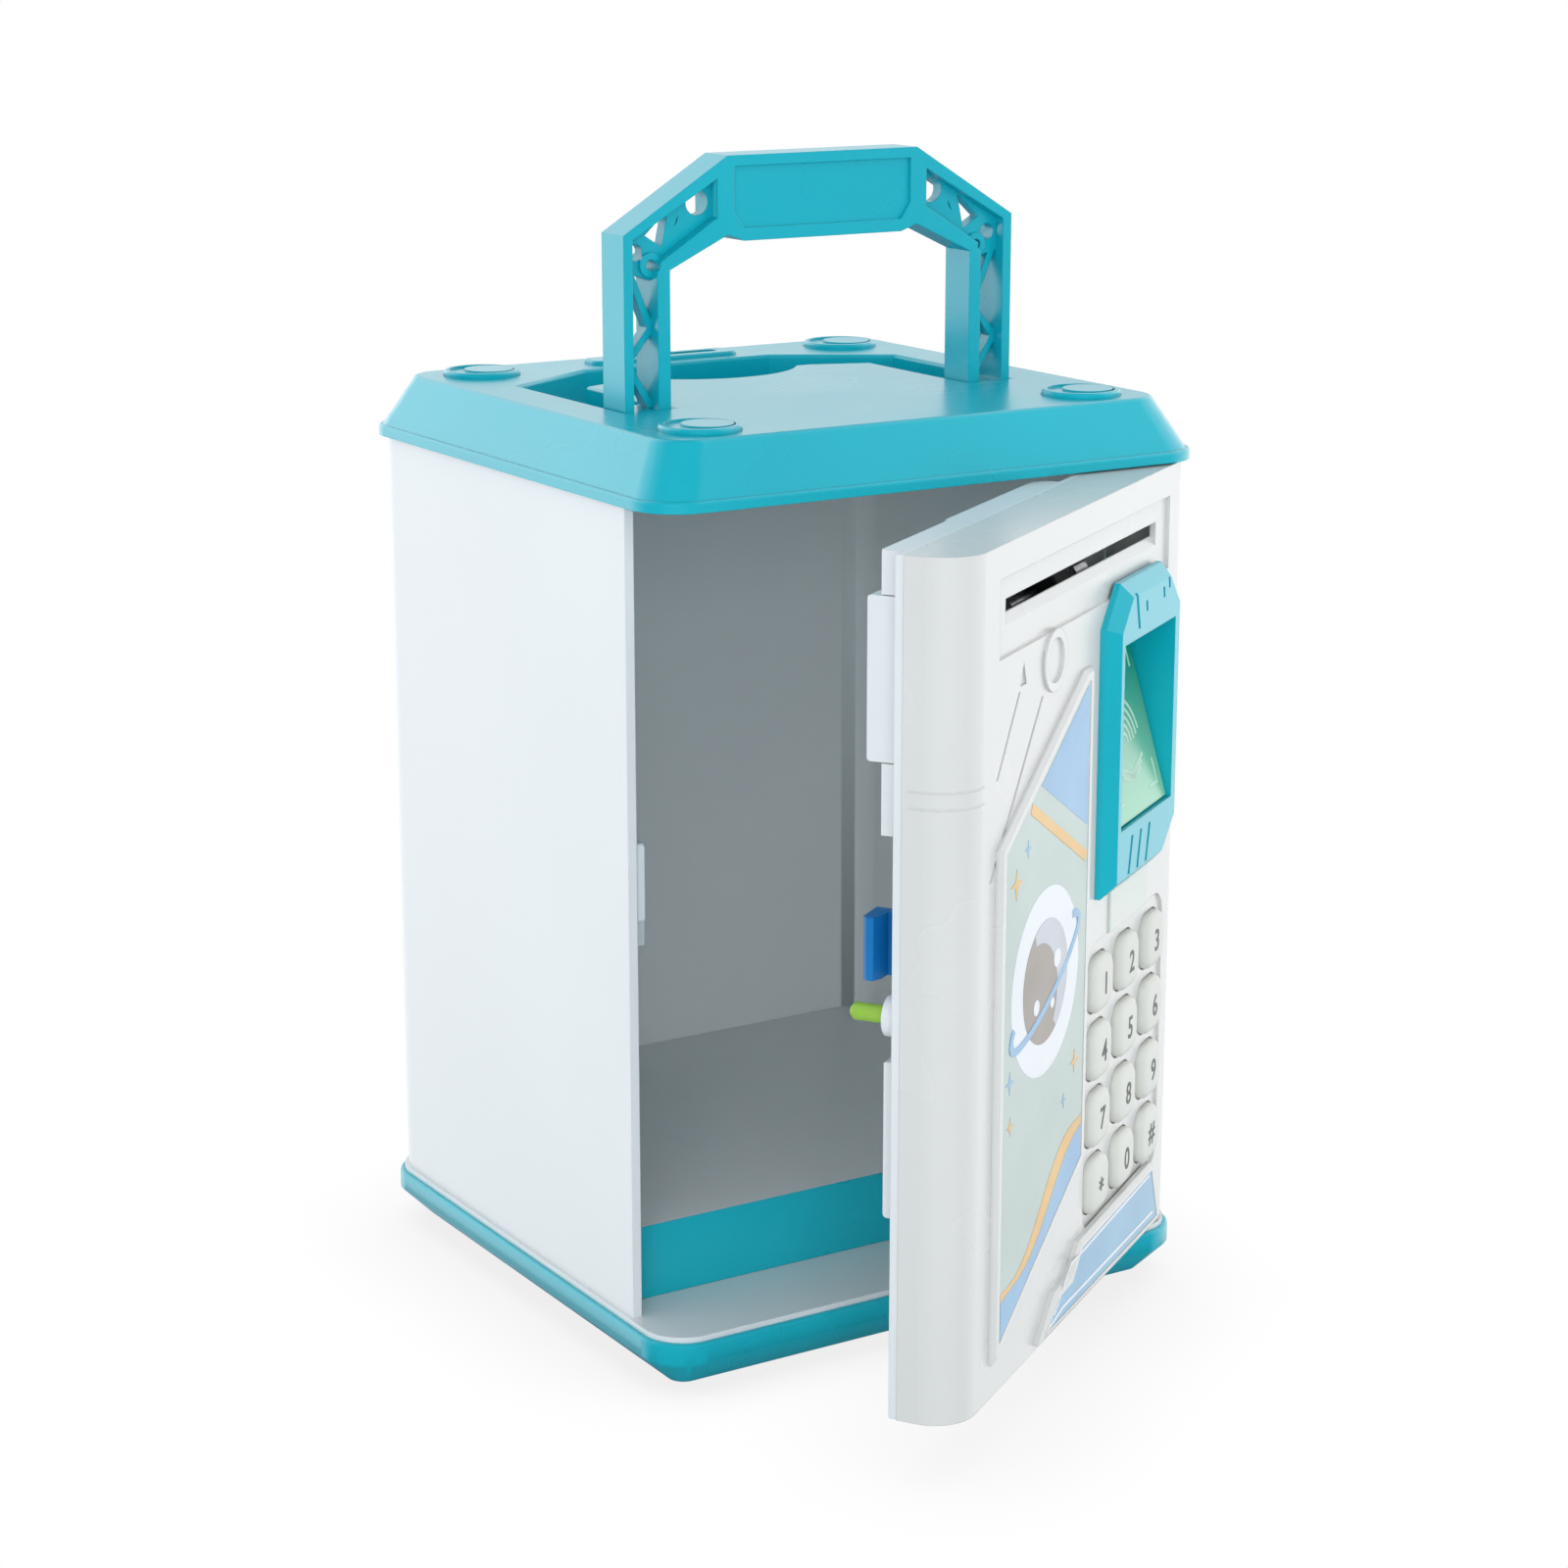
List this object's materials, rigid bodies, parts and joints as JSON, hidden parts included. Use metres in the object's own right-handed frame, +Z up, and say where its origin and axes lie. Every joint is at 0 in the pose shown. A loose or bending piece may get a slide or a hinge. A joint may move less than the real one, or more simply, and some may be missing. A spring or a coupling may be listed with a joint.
{
  "type": "electronic piggy bank",
  "caption": "Toy safe with a swinging coded door, keypad, sensor pad, banknote feed slot, coin slot, latch and folding handle.",
  "frame": {"origin": "centre of the case in plan, at the underside of the feet", "axes": "+X to the viewer's right, -Y is the front, +Z up"},
  "size_m": [0.133, 0.1908, 0.2457],
  "materials": {
    "turquoise_abs": "satin moulded",
    "white_abs": "satin moulded",
    "clear_white": "translucent moulded",
    "key_white": "soft moulded",
    "milky_lens": "milky",
    "picture_print": "printed label",
    "blue_print": "printed label",
    "pad_green": "printed",
    "hook_blue": "moulded",
    "plunger_green": "moulded",
    "black_rubber": "matt",
    "grey_rubber": "matt",
    "board": "solder mask",
    "dark_plastic": "matt",
    "steel": "plated",
    "cell_wrap": "plain sleeve"
  },
  "bodies": {
    "case": {"base_tray": "turquoise_abs", "feet": "black_rubber", "base_screws": "steel", "case_shell": "white_abs", "riser_strip": "turquoise_abs", "floor_panel": "white_abs", "keeper": "clear_white", "lid": "turquoise_abs", "corner_plugs": "turquoise_abs", "lid_screws": "steel", "handle_pins": "steel"},
    "door": {"door_front": "white_abs", "door_back": "white_abs", "feed_cover": "white_abs", "feed_frame": "white_abs", "feed_motor": "steel", "battery_cover": "white_abs", "battery_cells": "cell_wrap", "battery_contacts": "steel", "hinge_pins": "steel", "door_screws": "steel", "sensor_bezel": "turquoise_abs", "indicator_window": "milky_lens", "picture_panel": "white_abs", "picture_label": "picture_print", "lower_panel": "white_abs", "lower_label": "blue_print", "key_mat": "grey_rubber", "keypad_board": "board", "main_board": "board", "speaker": "dark_plastic", "latch_solenoid": "steel", "door_switch": "dark_plastic"},
    "handle": {"handle": "turquoise_abs"},
    "finger_pad": {"finger_pad": "pad_green"},
    "latch_hook": {"latch_hook": "hook_blue"},
    "plunger": {"plunger": "plunger_green"},
    "feed_roller": {"feed_shaft": "steel", "feed_rollers": "black_rubber"},
    "key_1": {"key_1": "key_white"},
    "key_2": {"key_2": "key_white"},
    "key_3": {"key_3": "key_white"},
    "key_4": {"key_4": "key_white"},
    "key_5": {"key_5": "key_white"},
    "key_6": {"key_6": "key_white"},
    "key_7": {"key_7": "key_white"},
    "key_8": {"key_8": "key_white"},
    "key_9": {"key_9": "key_white"},
    "key_star": {"key_star": "key_white"},
    "key_0": {"key_0": "key_white"},
    "key_hash": {"key_hash": "key_white"}
  },
  "joints": [
    {"name": "door_swing", "type": "hinge", "parent": "case", "child": "door", "pos_m": [0.0557, -0.05515, 0.098], "axis": [0, 0, 1], "range_deg": [-33.9, 81.1]},
    {"name": "handle_fold", "type": "hinge", "parent": "case", "child": "handle", "pos_m": [0, -0.0145, 0.1904], "axis": [-1, 0, 0], "range_deg": [0, 90]},
    {"name": "finger_pad_press", "type": "slide", "parent": "door", "child": "finger_pad", "axis": [-0.5577, 0.83, 0], "range_m": [0, 0.0012], "stiffness_N_per_m": 600},
    {"name": "latch_slide", "type": "slide", "parent": "door", "child": "latch_hook", "axis": [-0.83, -0.5577, 0], "range_m": [0, 0.003]},
    {"name": "plunger_press", "type": "slide", "parent": "door", "child": "plunger", "axis": [0.5577, -0.83, 0], "range_m": [0, 0.003], "stiffness_N_per_m": 150},
    {"name": "feed_spin", "type": "hinge", "parent": "door", "child": "feed_roller", "pos_m": [-0.00407, -0.0917, 0.1633], "axis": [0.83, 0.5577, 0], "continuous": true},
    {"name": "key_1_press", "type": "slide", "parent": "door", "child": "key_1", "axis": [-0.5577, 0.83, 0], "range_m": [0, 0.001], "stiffness_N_per_m": 400},
    {"name": "key_2_press", "type": "slide", "parent": "door", "child": "key_2", "axis": [-0.5577, 0.83, 0], "range_m": [0, 0.001], "stiffness_N_per_m": 400},
    {"name": "key_3_press", "type": "slide", "parent": "door", "child": "key_3", "axis": [-0.5577, 0.83, 0], "range_m": [0, 0.001], "stiffness_N_per_m": 400},
    {"name": "key_4_press", "type": "slide", "parent": "door", "child": "key_4", "axis": [-0.5577, 0.83, 0], "range_m": [0, 0.001], "stiffness_N_per_m": 400},
    {"name": "key_5_press", "type": "slide", "parent": "door", "child": "key_5", "axis": [-0.5577, 0.83, 0], "range_m": [0, 0.001], "stiffness_N_per_m": 400},
    {"name": "key_6_press", "type": "slide", "parent": "door", "child": "key_6", "axis": [-0.5577, 0.83, 0], "range_m": [0, 0.001], "stiffness_N_per_m": 400},
    {"name": "key_7_press", "type": "slide", "parent": "door", "child": "key_7", "axis": [-0.5577, 0.83, 0], "range_m": [0, 0.001], "stiffness_N_per_m": 400},
    {"name": "key_8_press", "type": "slide", "parent": "door", "child": "key_8", "axis": [-0.5577, 0.83, 0], "range_m": [0, 0.001], "stiffness_N_per_m": 400},
    {"name": "key_9_press", "type": "slide", "parent": "door", "child": "key_9", "axis": [-0.5577, 0.83, 0], "range_m": [0, 0.001], "stiffness_N_per_m": 400},
    {"name": "key_star_press", "type": "slide", "parent": "door", "child": "key_star", "axis": [-0.5577, 0.83, 0], "range_m": [0, 0.001], "stiffness_N_per_m": 400},
    {"name": "key_0_press", "type": "slide", "parent": "door", "child": "key_0", "axis": [-0.5577, 0.83, 0], "range_m": [0, 0.001], "stiffness_N_per_m": 400},
    {"name": "key_hash_press", "type": "slide", "parent": "door", "child": "key_hash", "axis": [-0.5577, 0.83, 0], "range_m": [0, 0.001], "stiffness_N_per_m": 400}
  ]
}
